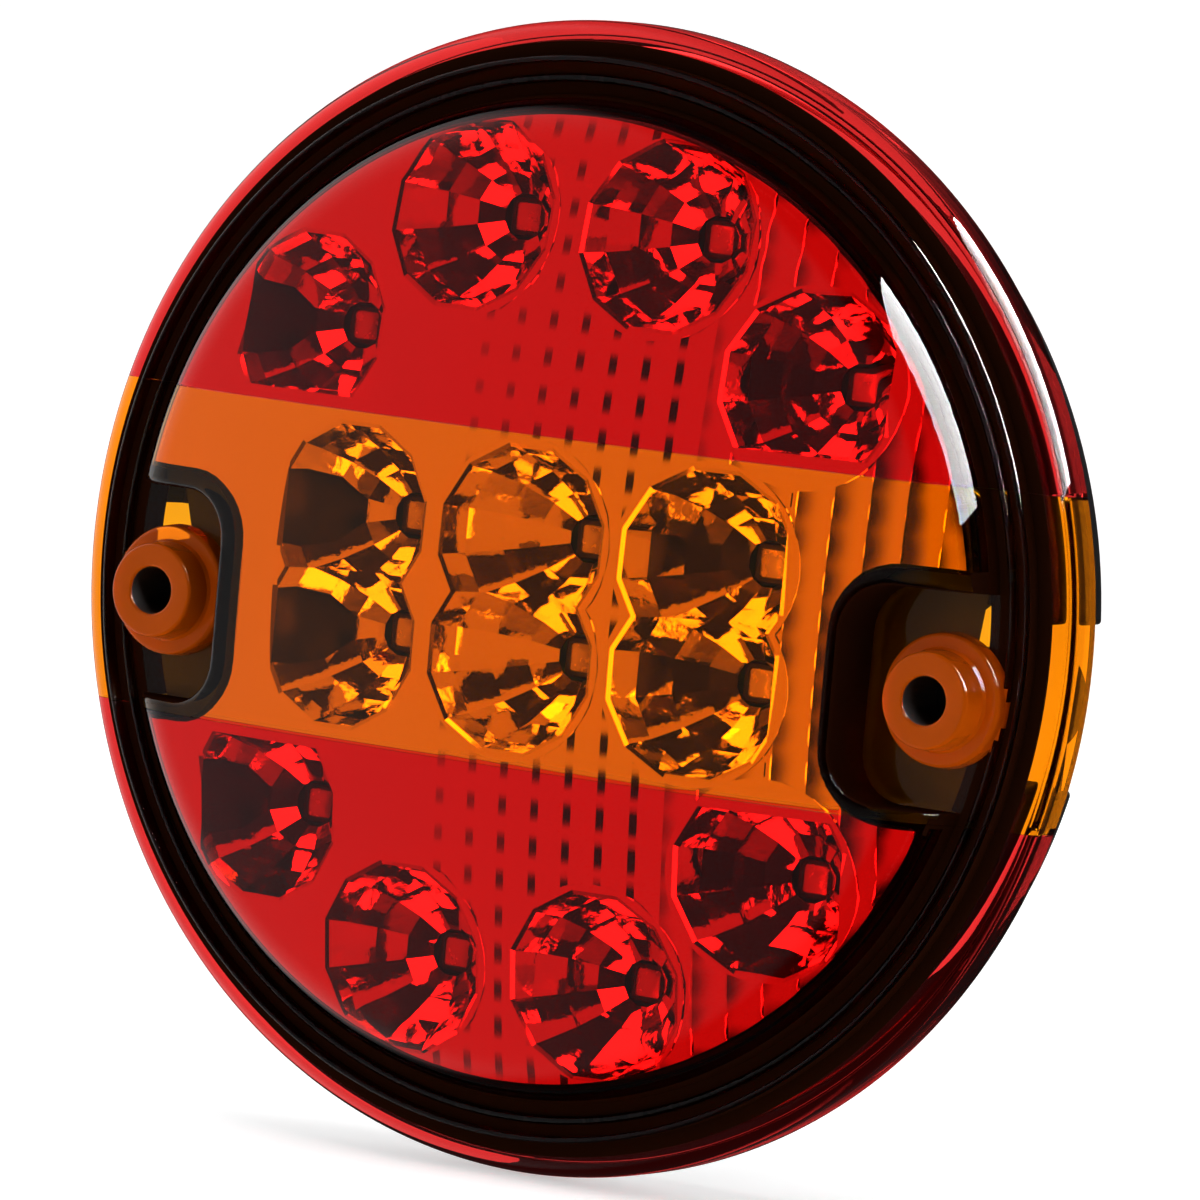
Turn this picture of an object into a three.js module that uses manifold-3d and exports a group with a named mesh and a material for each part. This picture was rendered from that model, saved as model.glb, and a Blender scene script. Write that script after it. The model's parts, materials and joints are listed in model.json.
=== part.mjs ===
// Round trailer tail light: a two-colour lens over a metallised reflector with eight red and six amber
// LEDs, in a black housing that is fixed from the front by two screws.
// Millimetres. X is to the right, Z is up and the light shines towards -Y. The rear face of the housing
// is the plane y = 0 and its centre is the origin. "Depth" is measured back from the crown of the lens.
import * as THREE from 'three';
import { mergeVertices } from 'three/addons/utils/BufferGeometryUtils.js';
import Module from 'manifold-3d';

const wasm = await Module();
wasm.setup();

// ---- driving dimensions ----
const LAMP_RADIUS = 70;
const LAMP_DEPTH = 34;
const DOME_RADIUS = 260;
const LENS_WALL = 2;
const BAND_HALF_HEIGHT = 20;
const SCREW_OFFSET = { x: 55, z: -5.4 };
const FIT_GAP = 0.3;
const ROUND_STEPS = 40;
const SMALL_ROUND_STEPS = 24;
const PIN_STEPS = 12;
const OVERCUT = 1;

// ---- lens ----
const FACE_RADIUS = 61;
const FACE_ROUND = { outside: 8, inside: 3 };
const VALLEY_DEPTH = 12.6;
const SKIRT_DEPTH = 19.6;
const RIB = { inner: 62.4, outer: 63.4, height: 1 };
const CREST = { inner: 64.8, outer: 65.6, height: 1.6 };
const GROOVE_DROP = 0.8;
const SHOULDER_ROUND = 2.6;
const WELL = { reach: 44, halfHeight: 13.1, corner: 6 };
const KEY_WIDTH = 8;
const BOSS = { foot: 8, neck: 5.8, hole: 2.9, front: 6.4, step: 10.4 };

// ---- reflector and light sources ----
const CUP = { rim: 11.3, hole: 2.9, sides: 12, wall: 1, backDepth: 19.3 };
const CUP_RINGS = [[0, 1], [0.38, 0.86], [0.72, 0.62]];
const CUP_SPACE = 20;
const RED_CUPS = { inner: { x: 13.7, z: 45 }, outer: { x: 35.4, z: 29.5 } };
const AMBER_CUPS = { x: 25.2, z: 7.2 };
const FLAT = { side: 10, band: 7.8, sideLean: 5.5, strip: 14.2, stripDrop: 1.4, halfHeight: 4.8 };
const REFLECTOR = { radius: 58, standOff: 2.6, wall: 1.4, wellMargin: 2.6, skirt: 3, post: 2.5 };

// ---- circuit board ----
const BOARD = { radius: 60.4, front: 21.4, thickness: 1.6, wellMargin: 4.7 };
const LED = { size: 5, base: 1.5, radius: 1.9, height: 0.5, cap: 0.3 };
const SCREW_SPOT = { x: 14, z: 26 };
const BOARD_SCREW = { shank: 1.25, head: 2.6, headHeight: 1.6, length: 7, post: 3 };
const DRIVER = { width: 6.6, height: 6, thickness: 2.3, x: 24, z: 6 };
const STOP_DRIVER_Z = 10;
const DIODE = { width: 7, height: 5.8, thickness: 2.2, x: -13, z: -10 };
const SUPPRESSOR_X = 2;
const CAPACITOR = { radius: 3.15, height: 5.6, x: 18, z: -10 };

// ---- housing ----
const WALL = { outer: 64.6, inner: 61, outerMargin: 0.5, innerMargin: 4.1 };
const FLANGE = { radius: 66.1, front: 20, back: 28.5, floor: 26 };
const PEDESTAL = { radius: 58, wall: 2.5 };
const PILLAR = { radius: 6.2, hole: 3 };
const WEB_THICKNESS = 3.2;
const RIM_OPENING = 20;
const SEAL = { outer: 63.5, inner: 62.1, outerMargin: 1.6, innerMargin: 3, depth: 1.8 };

// ---- cable tail ----
const CABLE = { x: 0, z: -36, radius: 3.2, front: 28, end: 74 };
const GROMMET = { neck: 4.6, collar: 6.6, collarThickness: 1.6 };
const CORE = { radius: 0.55, pitch: 1.7, landing: 5, sides: 8, steps: 10 };
const CORE_NAMES = ['wire_ground', 'wire_tail', 'wire_stop', 'wire_indicator'];

const at = (depth) => depth - LAMP_DEPTH;
const domeSag = (radius) => DOME_RADIUS - Math.sqrt(DOME_RADIUS ** 2 - radius ** 2);

// ---- solids ----
function solid(geometry) {
  const bare = geometry.clone();
  bare.deleteAttribute('normal');
  bare.deleteAttribute('uv');
  const welded = mergeVertices(bare, 1e-4);
  return new wasm.Manifold(new wasm.Mesh({
    numProp: 3,
    vertProperties: new Float32Array(welded.attributes.position.array),
    triVerts: new Uint32Array(welded.index.array),
  }));
}

function geometryOf(body) {
  const data = body.getMesh();
  const geometry = new THREE.BufferGeometry();
  geometry.setAttribute('position', new THREE.BufferAttribute(new Float32Array(data.vertProperties), 3));
  geometry.setIndex(new THREE.BufferAttribute(new Uint32Array(data.triVerts), 1));
  const flat = geometry.toNonIndexed();
  flat.computeVertexNormals();
  return flat;
}

const union = (bodies) => bodies.reduce((whole, body) => whole.add(body));

// A body of revolution parallel to the lamp axis, from points [radius, depth] that run over the front,
// round the edge and along the back.
function turned(profile, steps = ROUND_STEPS, x = 0, z = 0, phase = 0) {
  const points = profile.map(([radius, depth]) => new THREE.Vector2(radius, at(depth)));
  const geometry = new THREE.LatheGeometry(points, steps, phase);
  geometry.translate(x, 0, z);
  return solid(geometry);
}

// A round bar along the lamp axis between two depths.
function bar(radius, front, back, x = 0, z = 0, steps = ROUND_STEPS) {
  const geometry = new THREE.CylinderGeometry(radius, radius, back - front, steps);
  geometry.translate(x, at((front + back) / 2), z);
  return solid(geometry);
}

function block(xRange, depthRange, zRange) {
  const [width, length, height] = [xRange, depthRange, zRange].map(([low, high]) => high - low);
  const geometry = new THREE.BoxGeometry(width, length, height);
  geometry.translate(xRange[0] + width / 2, at(depthRange[0] + length / 2), zRange[0] + height / 2);
  return solid(geometry);
}

// A flat outline in X and Z, extruded between two depths.
function prism(shape, front, back) {
  const geometry = new THREE.ExtrudeGeometry(shape, {
    depth: back - front, bevelEnabled: false, curveSegments: 6,
  });
  geometry.rotateX(Math.PI / 2);
  geometry.translate(0, at(back), 0);
  return solid(geometry);
}

// The two U-shaped wells round the fixing screws, open towards the rim and grown by a margin.
function wells(margin, front, back) {
  const inner = WELL.reach - margin;
  const top = SCREW_OFFSET.z + WELL.halfHeight + margin;
  const bottom = SCREW_OFFSET.z - WELL.halfHeight - margin;
  const corner = WELL.corner + margin;
  const far = LAMP_RADIUS + WELL.corner;
  return union([-1, 1].map((side) => {
    const shape = new THREE.Shape();
    shape.moveTo(side * far, bottom);
    shape.lineTo(side * (inner + corner), bottom);
    shape.quadraticCurveTo(side * inner, bottom, side * inner, bottom + corner);
    shape.lineTo(side * inner, top - corner);
    shape.quadraticCurveTo(side * inner, top, side * (inner + corner), top);
    shape.lineTo(side * far, top);
    return prism(shape, front, back);
  }));
}

// The sealed chamber of the lamp: a disc without the two wells.
function chamber(radius, margin, front, back) {
  return bar(radius, front, back).subtract(wells(margin, front - 1, back + 1));
}

// ---- finishes ----
const finish = (color, roughness, metalness) => () => (
  new THREE.MeshStandardMaterial({ color, roughness, metalness })
);
const redLens = finish(0xc8161a, 0.12, 0);
const amberLens = finish(0xe07808, 0.12, 0);
const chrome = finish(0xe6e6ea, 0.08, 1);
const blackPlastic = finish(0x141416, 0.55, 0);
const blackRubber = finish(0x1c1c1c, 0.9, 0);
const boardGreen = finish(0x2c6a3a, 0.5, 0);
const ledClear = finish(0xe9e4da, 0.2, 0);
const epoxyBlack = finish(0x202124, 0.45, 0);
const steel = finish(0xb4b6ba, 0.3, 1);
const blackCore = finish(0x1a1a1a, 0.5, 0);
const redCore = finish(0x9a1f1c, 0.5, 0);
const aluminium = finish(0xc2c5c8, 0.3, 1);

const lamp = new THREE.Group();
lamp.name = 'trailer_tail_light';
const base = new THREE.Group();
base.name = 'base_group';
const cover = new THREE.Group();
cover.name = 'cover_group';
lamp.add(base, cover);

function addPart(group, name, shape, material) {
  const mesh = new THREE.Mesh(geometryOf(shape), material());
  mesh.name = name;
  group.add(mesh);
}

// ---- lens: one stepped shell, moulded in a red, an amber and a red section ----
function domePoints(offset, edge, steps = 5) {
  return Array.from({ length: steps + 1 }, (_, i) => {
    const radius = edge * i / steps;
    return [radius, offset + domeSag(radius)];
  });
}

function arcPoints(centre, radius, fromDegrees, toDegrees, steps) {
  return Array.from({ length: steps + 1 }, (_, i) => {
    const angle = THREE.MathUtils.degToRad(fromDegrees + (toDegrees - fromDegrees) * i / steps);
    return [centre[0] + radius * Math.sin(angle), centre[1] - radius * Math.cos(angle)];
  });
}

// The dome at an offset behind the crown, rounded off to a straight wall at the given radius.
function roundedDome(offset, edge, round) {
  const centreRadius = edge - round;
  const tangentRadius = centreRadius / (1 - round / DOME_RADIUS);
  const tangentAngle = Math.asin(tangentRadius / DOME_RADIUS);
  const centreDepth = offset + domeSag(tangentRadius) + round * Math.cos(tangentAngle);
  const lastAngle = Math.min(Math.PI / 2, Math.acos((centreDepth - VALLEY_DEPTH) / round));
  const [from, to] = [tangentAngle, lastAngle].map(THREE.MathUtils.radToDeg);
  return [
    ...domePoints(offset, tangentRadius).slice(0, -1),
    ...arcPoints([centreRadius, centreDepth], round, from, to, 4),
  ];
}

// A rectangular ring that stands up from the valley floor.
function ridge({ inner, outer, height }) {
  const top = VALLEY_DEPTH - height;
  return [[inner, VALLEY_DEPTH], [inner, top], [outer, top]];
}

function lensBody() {
  const grooveFloor = VALLEY_DEPTH + GROOVE_DROP;
  const shoulderRadius = LAMP_RADIUS - SHOULDER_ROUND;
  const outside = [
    ...roundedDome(0, FACE_RADIUS, FACE_ROUND.outside),
    ...ridge(RIB),
    [RIB.outer, VALLEY_DEPTH],
    ...ridge(CREST),
    [CREST.outer, grooveFloor],
    ...arcPoints([shoulderRadius, grooveFloor + SHOULDER_ROUND], SHOULDER_ROUND, 0, 90, 4),
    [LAMP_RADIUS, SKIRT_DEPTH],
  ];
  const ledge = VALLEY_DEPTH + LENS_WALL;
  const skirtInside = LAMP_RADIUS - LENS_WALL;
  const inside = [
    ...roundedDome(LENS_WALL, FACE_RADIUS - LENS_WALL, FACE_ROUND.inside),
    [FACE_RADIUS - LENS_WALL, ledge],
    [skirtInside - LENS_WALL, ledge],
    [skirtInside, ledge + LENS_WALL],
    [skirtInside, SKIRT_DEPTH + OVERCUT],
  ];
  const envelope = turned([...outside, [0, SKIRT_DEPTH]]);
  const hollow = turned([...inside, [0, SKIRT_DEPTH + OVERCUT]]);
  const liner = wells(LENS_WALL, 1, ledge).intersect(bar(WALL.outer, 0, ledge));
  const pocket = wells(0, -OVERCUT, VALLEY_DEPTH).intersect(bar(FACE_RADIUS + 0.5, -OVERCUT, VALLEY_DEPTH));
  const keyTop = VALLEY_DEPTH - CREST.height;
  const keys = union([-1, 1].map((side) => {
    const zRange = [side * (CREST.outer - 0.2), side * (shoulderRadius + 0.2)].sort((a, b) => a - b);
    return block([-KEY_WIDTH / 2, KEY_WIDTH / 2], [keyTop, ledge], zRange);
  }));
  let shell = envelope.subtract(hollow).add(liner.intersect(envelope)).add(keys.intersect(envelope));
  shell = shell.subtract(pocket);
  for (const side of [-1, 1]) {
    const x = side * SCREW_OFFSET.x;
    shell = shell.add(bar(BOSS.foot, BOSS.step, ledge, x, SCREW_OFFSET.z, SMALL_ROUND_STEPS));
    shell = shell.add(bar(BOSS.neck, BOSS.front, ledge, x, SCREW_OFFSET.z, SMALL_ROUND_STEPS));
    shell = shell.subtract(bar(BOSS.hole, 0, ledge + OVERCUT, x, SCREW_OFFSET.z, SMALL_ROUND_STEPS));
  }
  return shell;
}

function addLens() {
  const shell = lensBody();
  const far = LAMP_RADIUS + 1;
  const slice = (low, high) => shell.intersect(block([-far, far], [-1, LAMP_DEPTH], [low, high]));
  addPart(cover, 'lens_red_upper', slice(BAND_HALF_HEIGHT, far), redLens);
  addPart(cover, 'lens_amber_band', slice(-BAND_HALF_HEIGHT, BAND_HALF_HEIGHT), amberLens);
  addPart(cover, 'lens_red_lower', slice(-far, -BAND_HALF_HEIGHT), redLens);
}

// ---- reflector: a domed plate with fourteen faceted cups ----
function cupCentres() {
  const { inner, outer } = RED_CUPS;
  const red = [];
  const amber = [];
  for (const up of [1, -1]) {
    red.push({ x: -outer.x, z: up * outer.z, flatX: -1, flatZ: -up });
    red.push({ x: -inner.x, z: up * inner.z });
    red.push({ x: inner.x, z: up * inner.z });
    red.push({ x: outer.x, z: up * outer.z, flatX: 1, flatZ: -up });
    for (const column of [-1, 0, 1]) {
      amber.push({ x: column * AMBER_CUPS.x, z: up * AMBER_CUPS.z, flatX: column });
    }
  }
  return { red, amber };
}

// The hollow of one cup, or the moulding round it when grown by the wall thickness.
function cupSolid(cup, grow) {
  const mouth = REFLECTOR.standOff + domeSag(Math.hypot(cup.x, cup.z));
  const depth = CUP.backDepth - mouth;
  const rings = CUP_RINGS.map(([share, ratio]) => [ratio * CUP.rim + grow, mouth + share * depth]);
  const front = grow ? mouth - OVERCUT : 0;
  const back = grow ? CUP.backDepth : CUP.backDepth + OVERCUT;
  const hole = CUP.hole + grow;
  const end = grow ? [[hole, back], [0, back]] : [[hole, CUP.backDepth], [hole, back], [0, back]];
  const profile = [[0, front], [CUP.rim + grow, front], ...rings, ...end];
  let hollow = turned(profile, CUP.sides, cup.x, cup.z, Math.PI / CUP.sides);
  if (cup.flatX) {
    hollow = hollow.subtract(sideWedge(cup, mouth, grow));
  }
  if (cup.flatZ) {
    const edge = cup.z + cup.flatZ * (FLAT.band + grow);
    const zRange = [edge, edge + cup.flatZ * CUP_SPACE].sort((a, b) => a - b);
    hollow = hollow.subtract(block([cup.x - CUP_SPACE, cup.x + CUP_SPACE], [-OVERCUT, LAMP_DEPTH], zRange));
  }
  return hollow;
}

// What a leaning flat wall takes off the outer side of a cup.
function sideWedge(cup, mouth, grow) {
  const wide = cup.x + cup.flatX * (FLAT.side + grow);
  const narrow = cup.x + cup.flatX * (FLAT.side + grow - FLAT.sideLean);
  const far = cup.x + cup.flatX * CUP_SPACE;
  const outline = new THREE.Shape();
  outline.moveTo(wide, at(-OVERCUT));
  outline.lineTo(wide, at(mouth));
  outline.lineTo(narrow, at(CUP.backDepth + 2));
  outline.lineTo(far, at(CUP.backDepth + 2));
  outline.lineTo(far, at(-OVERCUT));
  const geometry = new THREE.ExtrudeGeometry(outline, { depth: 2 * CUP_SPACE, bevelEnabled: false });
  geometry.translate(0, 0, cup.z - CUP_SPACE);
  return solid(geometry);
}

// The sloping strip between the plate and the leaning wall.
function sideStrip(cup) {
  const mouth = REFLECTOR.standOff + domeSag(Math.hypot(cup.x, cup.z));
  const [near, far] = [FLAT.side, FLAT.strip].map((reach) => cup.x + cup.flatX * reach);
  const outline = new THREE.Shape();
  outline.moveTo(near - cup.flatX, at(-OVERCUT));
  outline.lineTo(far, at(-OVERCUT));
  outline.lineTo(far, at(mouth));
  outline.lineTo(near, at(mouth + FLAT.stripDrop));
  outline.lineTo(near - cup.flatX, at(mouth + FLAT.stripDrop));
  const geometry = new THREE.ExtrudeGeometry(outline, { depth: 2 * FLAT.halfHeight, bevelEnabled: false });
  geometry.translate(0, 0, cup.z - FLAT.halfHeight);
  return solid(geometry);
}

function addReflector({ red, amber }) {
  const { radius, standOff, wall, wellMargin, skirt, post } = REFLECTOR;
  const front = domePoints(standOff, radius);
  const back = domePoints(standOff + wall, radius - wall).reverse();
  const edgeDepth = standOff + domeSag(radius) + skirt;
  const plate = turned([...front, [radius, edgeDepth], [radius - wall, edgeDepth], ...back]);
  const behindFront = turned([...front, [radius, CUP.backDepth], [0, CUP.backDepth]]);
  const all = [...red, ...amber];
  const mouldings = union(all.map((cup) => cupSolid(cup, CUP.wall)));
  let reflector = plate.add(mouldings).intersect(behindFront);
  reflector = reflector.subtract(wells(wellMargin, -OVERCUT, LAMP_DEPTH));
  for (const up of [-1, 1]) {
    reflector = reflector.add(bar(post, standOff + 2, BOARD.front, 0, up * SCREW_SPOT.z, SMALL_ROUND_STEPS));
  }
  reflector = reflector.subtract(union(all.map((cup) => cupSolid(cup, 0))));
  reflector = reflector.subtract(union(all.filter((cup) => cup.flatX).map(sideStrip)));
  addPart(base, 'reflector', reflector, chrome);
}

// ---- circuit board with its light sources, screws and driver parts ----
const boardBack = BOARD.front + BOARD.thickness;
const screwSpots = [[-1, 1], [1, 1], [-1, -1], [1, -1]].map(([x, z]) => [x * SCREW_SPOT.x, z * SCREW_SPOT.z]);

function addBoard() {
  let board = chamber(BOARD.radius, BOARD.wellMargin, BOARD.front, boardBack);
  for (const [x, z] of screwSpots) {
    board = board.subtract(bar(BOARD_SCREW.shank + FIT_GAP, BOARD.front - 1, boardBack + 1, x, z, PIN_STEPS));
  }
  addPart(base, 'circuit_board', board, boardGreen);
}

function addLed(name, { x, z }) {
  const half = LED.size / 2;
  const top = BOARD.front - LED.base;
  const tip = top - LED.height;
  const dome = [
    [0, tip],
    [0.75 * LED.radius, tip + 0.25 * LED.cap],
    [LED.radius, tip + LED.cap],
    [LED.radius, BOARD.front],
    [0, BOARD.front],
  ];
  const carrier = block([x - half, x + half], [top, BOARD.front], [z - half, z + half]);
  addPart(base, name, carrier.add(turned(dome, PIN_STEPS, x, z)), ledClear);
}

function addBoardScrews() {
  screwSpots.forEach(([x, z], i) => {
    const { shank, head, headHeight, length } = BOARD_SCREW;
    const cap = bar(head, BOARD.front - headHeight, BOARD.front, x, z, SMALL_ROUND_STEPS);
    const stem = bar(shank, BOARD.front - headHeight / 2, BOARD.front + length, x, z, PIN_STEPS);
    addPart(base, `board_screw_${i + 1}`, cap.add(stem), steel);
  });
}

// A flat chip package on the back of the board.
function addPackage(name, { width, height, thickness, x, z }) {
  const body = block([x - width / 2, x + width / 2], [boardBack, boardBack + thickness],
    [z - height / 2, z + height / 2]);
  addPart(base, name, body, epoxyBlack);
}

function addDriverParts() {
  addPackage('driver_tail', { ...DRIVER, x: -DRIVER.x });
  addPackage('driver_stop', { ...DRIVER, x: 0, z: STOP_DRIVER_Z });
  addPackage('driver_indicator', DRIVER);
  addPackage('polarity_diode', DIODE);
  addPackage('surge_suppressor', { ...DIODE, x: SUPPRESSOR_X });
  const { radius, height, x, z } = CAPACITOR;
  const can = bar(radius, boardBack, boardBack + height, x, z, SMALL_ROUND_STEPS);
  addPart(base, 'filter_capacitor', can, aluminium);
}

// A round cord along a curve through the given points [x, depth, z].
function cord(points, radius, steps, sides) {
  const path = new THREE.CatmullRomCurve3(points.map(([x, depth, z]) => new THREE.Vector3(x, at(depth), z)));
  const section = new THREE.Shape();
  for (let i = 0; i < sides; i += 1) {
    const angle = 2 * Math.PI * i / sides;
    section[i ? 'lineTo' : 'moveTo'](radius * Math.cos(angle), radius * Math.sin(angle));
  }
  return solid(new THREE.ExtrudeGeometry(section, { steps, extrudePath: path, bevelEnabled: false }));
}

// One stripped core, from the end of the cable to its own pad on the board.
function addCore(name, index) {
  const { x, z, front } = CABLE;
  const offset = index - (CORE_NAMES.length - 1) / 2;
  const [near, far] = [x + offset * CORE.pitch, x + offset * CORE.landing];
  const reach = front - boardBack;
  const path = [
    [far, boardBack, z],
    [far, boardBack + 0.4 * reach, z],
    [near, boardBack + 0.7 * reach, z],
    [near, front, z],
  ];
  addPart(base, name, cord(path, CORE.radius, CORE.steps, CORE.sides), index ? redCore : blackCore);
}

function addCable() {
  const { x, z, radius, front, end } = CABLE;
  const { neck, collar, collarThickness } = GROMMET;
  const innerFloor = LAMP_DEPTH - PEDESTAL.wall;
  addPart(base, 'cable', bar(radius, front, end, x, z, SMALL_ROUND_STEPS), blackRubber);
  const grommet = bar(collar, innerFloor - collarThickness, innerFloor, x, z, SMALL_ROUND_STEPS)
    .add(bar(neck, innerFloor - OVERCUT, LAMP_DEPTH, x, z, SMALL_ROUND_STEPS))
    .subtract(bar(radius + 0.05, front, LAMP_DEPTH + OVERCUT, x, z, SMALL_ROUND_STEPS));
  addPart(base, 'cable_grommet', grommet, blackRubber);
  CORE_NAMES.forEach(addCore);
}

// ---- housing: floor, chamber wall, rim, rear pedestal and the two screw pillars ----
function chamberRing(outer, outerMargin, inner, innerMargin, front, back) {
  return chamber(outer, outerMargin, front, back).subtract(chamber(inner, innerMargin, front - 2, back + 2));
}

const wallTop = VALLEY_DEPTH + LENS_WALL + FIT_GAP;
const innerFloor = LAMP_DEPTH - PEDESTAL.wall;
const throughBack = LAMP_DEPTH + OVERCUT;

// The chamber wall, the flange round it and the pedestal that stands on the vehicle.
function housingShell() {
  const wall = chamberRing(WALL.outer, WALL.outerMargin, WALL.inner, WALL.innerMargin, wallTop, FLANGE.back);
  const floor = bar(FLANGE.radius, FLANGE.floor, FLANGE.back);
  const rim = bar(FLANGE.radius, FLANGE.front, FLANGE.back)
    .subtract(bar(WALL.outer - 0.5, FLANGE.front - OVERCUT, throughBack));
  const pedestal = bar(PEDESTAL.radius, FLANGE.floor + 1, LAMP_DEPTH);
  const room = chamber(PEDESTAL.radius - PEDESTAL.wall, WALL.innerMargin, wallTop, innerFloor);
  return wall.add(floor).add(rim).add(pedestal).subtract(room);
}

// Openings through the rim beside the screw pillars.
function rimOpenings() {
  const nearEdge = SCREW_OFFSET.x + PILLAR.radius + FIT_GAP;
  const zRange = [SCREW_OFFSET.z - RIM_OPENING / 2, SCREW_OFFSET.z + RIM_OPENING / 2];
  return union([-1, 1].map((side) => {
    const xRange = [side * nearEdge, side * LAMP_RADIUS].sort((a, b) => a - b);
    return block(xRange, [wallTop - OVERCUT, throughBack], zRange);
  }));
}

// Openings through the floor of each well, beside the pillar and the web that carries it.
function lightSlots() {
  const inset = -2;
  const web = block([-LAMP_RADIUS, LAMP_RADIUS], [wallTop, throughBack],
    [SCREW_OFFSET.z - WEB_THICKNESS / 2, SCREW_OFFSET.z + WEB_THICKNESS / 2]);
  return wells(inset, FLANGE.floor - OVERCUT, throughBack)
    .intersect(bar(PEDESTAL.radius + 2, wallTop, throughBack))
    .subtract(web)
    .subtract(screwBars(PILLAR.radius, wallTop, throughBack));
}

// A round bar on the axis of each fixing screw.
function screwBars(radius, front, back) {
  return union([-1, 1].map((side) => bar(radius, front, back, side * SCREW_OFFSET.x, SCREW_OFFSET.z,
    SMALL_ROUND_STEPS)));
}

function addHousing() {
  let housing = housingShell().subtract(rimOpenings()).subtract(lightSlots());
  housing = housing.add(screwBars(PILLAR.radius, wallTop, LAMP_DEPTH));
  housing = housing.subtract(screwBars(PILLAR.hole, 0, throughBack));
  const { post, shank, length } = BOARD_SCREW;
  for (const [x, z] of screwSpots) {
    const pilot = bar(shank + 0.1, boardBack - OVERCUT, BOARD.front + length + 0.5, x, z, PIN_STEPS);
    housing = housing.add(bar(post, boardBack, innerFloor + 0.5, x, z, SMALL_ROUND_STEPS)).subtract(pilot);
  }
  const { outer, outerMargin, inner, innerMargin, depth } = SEAL;
  const clearance = 0.1;
  housing = housing.subtract(chamberRing(outer + clearance, outerMargin - clearance, inner - clearance,
    innerMargin + clearance, wallTop - OVERCUT, wallTop + depth));
  const cableHole = bar(GROMMET.neck + clearance, innerFloor - OVERCUT, throughBack, CABLE.x, CABLE.z,
    SMALL_ROUND_STEPS);
  housing = housing.subtract(cableHole);
  addPart(base, 'housing', housing, blackPlastic);
}

function addSeal() {
  const { outer, outerMargin, inner, innerMargin, depth } = SEAL;
  const front = VALLEY_DEPTH + LENS_WALL;
  const bead = chamberRing(outer, outerMargin, inner, innerMargin, front, front + depth);
  addPart(base, 'lens_seal', bead, blackRubber);
}

const { red, amber } = cupCentres();
addLens();
addSeal();
addReflector({ red, amber });
addBoard();
red.forEach((cup, i) => addLed(`led_red_${i + 1}`, cup));
amber.forEach((cup, i) => addLed(`led_amber_${i + 1}`, cup));
addBoardScrews();
addDriverParts();
addCable();
addHousing();

export default lamp;
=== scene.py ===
# Round trailer tail light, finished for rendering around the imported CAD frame.
# Lengths in this script are millimetres, and new_piece() turns them into metres. The lamp's axis is Y,
# X is to the right, Z is up, and "depth" is measured back from the crown of the lens.
import json
import math

import bmesh
import bpy
from mathutils import Matrix, Vector


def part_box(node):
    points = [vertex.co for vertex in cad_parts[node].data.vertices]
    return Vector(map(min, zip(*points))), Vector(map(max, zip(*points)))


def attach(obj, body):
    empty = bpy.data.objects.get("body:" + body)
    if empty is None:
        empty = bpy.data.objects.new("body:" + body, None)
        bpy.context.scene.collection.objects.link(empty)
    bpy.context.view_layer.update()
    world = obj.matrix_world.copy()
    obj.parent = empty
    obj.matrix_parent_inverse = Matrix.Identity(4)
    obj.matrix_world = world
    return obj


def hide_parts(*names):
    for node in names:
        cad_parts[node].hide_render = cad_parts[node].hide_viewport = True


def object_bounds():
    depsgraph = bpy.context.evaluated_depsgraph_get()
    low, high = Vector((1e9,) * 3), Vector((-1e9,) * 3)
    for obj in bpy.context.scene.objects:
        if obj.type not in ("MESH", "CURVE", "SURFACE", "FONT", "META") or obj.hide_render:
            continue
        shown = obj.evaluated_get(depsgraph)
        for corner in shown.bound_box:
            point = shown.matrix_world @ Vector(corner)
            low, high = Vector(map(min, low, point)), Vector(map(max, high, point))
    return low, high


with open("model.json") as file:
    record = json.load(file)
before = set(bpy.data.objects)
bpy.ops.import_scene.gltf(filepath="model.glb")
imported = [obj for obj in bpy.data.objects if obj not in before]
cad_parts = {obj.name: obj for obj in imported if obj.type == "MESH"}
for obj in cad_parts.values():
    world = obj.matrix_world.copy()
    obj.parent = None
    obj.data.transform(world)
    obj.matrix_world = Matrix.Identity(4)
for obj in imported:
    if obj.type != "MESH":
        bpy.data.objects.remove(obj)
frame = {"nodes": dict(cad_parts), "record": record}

CAD_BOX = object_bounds()
METRES = 0.001


def cad_box(node):
    """The lowest and highest corner of a CAD node, in millimetres."""
    return [Vector(corner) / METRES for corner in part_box(node)]


def centre(node):
    low, high = cad_box(node)
    return (low + high) / 2


# ---- sizes taken from the frame ----
BAND_LOW, BAND_HIGH = cad_box("lens_amber_band")
CROWN = BAND_LOW.y
LAMP_RADIUS = BAND_HIGH.x
BAND_HALF_HEIGHT = BAND_HIGH.z
SKIRT_DEPTH = BAND_HIGH.y - CROWN
LAMP_DEPTH = -CROWN
MOUNTS = {mount["name"]: Vector(mount["pos_m"]) / METRES for mount in frame["record"]["mounts"]}
SCREW_X = MOUNTS["screw_seat_right"].x
BOSS_FRONT = MOUNTS["screw_seat_right"].y - CROWN
BOARD_BACK = cad_box("circuit_board")[1].y - CROWN
REFLECTOR_LOW, REFLECTOR_HIGH = cad_box("reflector")
REFLECTOR_RADIUS = REFLECTOR_HIGH.z
PLATE_STAND_OFF = REFLECTOR_LOW.y - CROWN
HOUSING_LOW, HOUSING_HIGH = cad_box("housing")
FLANGE_RADIUS = HOUSING_HIGH.z
WALL_TOP = HOUSING_LOW.y - CROWN
CABLE = centre("cable")
CABLE_LOW, CABLE_HIGH = cad_box("cable")
BOARD_SCREWS = [f"board_screw_{i + 1}" for i in range(4)]
RED_LEDS = [f"led_red_{i + 1}" for i in range(8)]
AMBER_LEDS = [f"led_amber_{i + 1}" for i in range(6)]

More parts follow.
